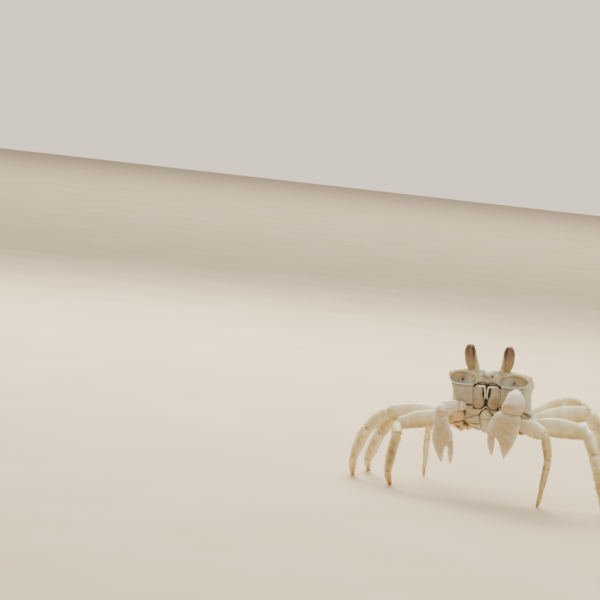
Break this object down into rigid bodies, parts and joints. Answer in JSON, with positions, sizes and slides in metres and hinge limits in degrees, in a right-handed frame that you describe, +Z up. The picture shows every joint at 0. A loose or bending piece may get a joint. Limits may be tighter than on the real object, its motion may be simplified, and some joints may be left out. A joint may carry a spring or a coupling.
{
  "type": "ghost crab",
  "caption": "Life-size still model of a ghost crab standing on its legs, eyes raised on stalks, one claw larger, one hind leg lifted.",
  "frame": {"origin": "middle of the crab's footprint box, on the floor it stands on", "axes": "-Y is the way the crab faces, +X is towards the crab's left, along its widest stance, and +Z is up"},
  "size_m": [0.0976, 0.0518, 0.0555],
  "materials": {
    "shell": "sandy grey cream shell, finely granular",
    "belly": "pale smooth shell plates of the face and belly",
    "claw": "whitish granular claw shell",
    "leg": "pale straw leg shell, slightly translucent",
    "tip": "horn-yellow end segments, smooth",
    "cornea": "glossy brown eye surface"
  },
  "bodies": {
    "root": {"carapace": "shell", "sternum": "belly", "abdomen": "belly", "eyestalk_left": "belly", "cornea_left": "cornea", "maxilliped_left": "belly", "eyestalk_right": "belly", "cornea_right": "cornea", "maxilliped_right": "belly", "claw_left_base": "claw", "claw_left_merus": "claw", "claw_left_carpus": "claw", "claw_left_palm": "claw", "claw_left_finger": "claw", "claw_right_base": "claw", "claw_right_merus": "claw", "claw_right_carpus": "claw", "claw_right_palm": "claw", "claw_right_finger": "claw", "leg_2_left_base": "leg", "leg_2_left_merus": "leg", "leg_2_left_carpus": "leg", "leg_2_left_propodus": "leg", "leg_2_left_dactyl": "tip", "leg_3_left_base": "leg", "leg_3_left_merus": "leg", "leg_3_left_carpus": "leg", "leg_3_left_propodus": "leg", "leg_3_left_dactyl": "tip", "leg_4_left_base": "leg", "leg_4_left_merus": "leg", "leg_4_left_carpus": "leg", "leg_4_left_propodus": "leg", "leg_4_left_dactyl": "tip", "leg_5_left_base": "leg", "leg_5_left_merus": "leg", "leg_5_left_carpus": "leg", "leg_5_left_propodus": "leg", "leg_5_left_dactyl": "tip", "leg_2_right_base": "leg", "leg_2_right_merus": "leg", "leg_2_right_carpus": "leg", "leg_2_right_propodus": "leg", "leg_2_right_dactyl": "tip", "leg_3_right_base": "leg", "leg_3_right_merus": "leg", "leg_3_right_carpus": "leg", "leg_3_right_propodus": "leg", "leg_3_right_dactyl": "tip", "leg_4_right_base": "leg", "leg_4_right_merus": "leg", "leg_4_right_carpus": "leg", "leg_4_right_propodus": "leg", "leg_4_right_dactyl": "tip", "leg_5_right_base": "leg", "leg_5_right_merus": "leg", "leg_5_right_carpus": "leg", "leg_5_right_propodus": "leg", "leg_5_right_dactyl": "tip"}
  },
  "joints": []
}
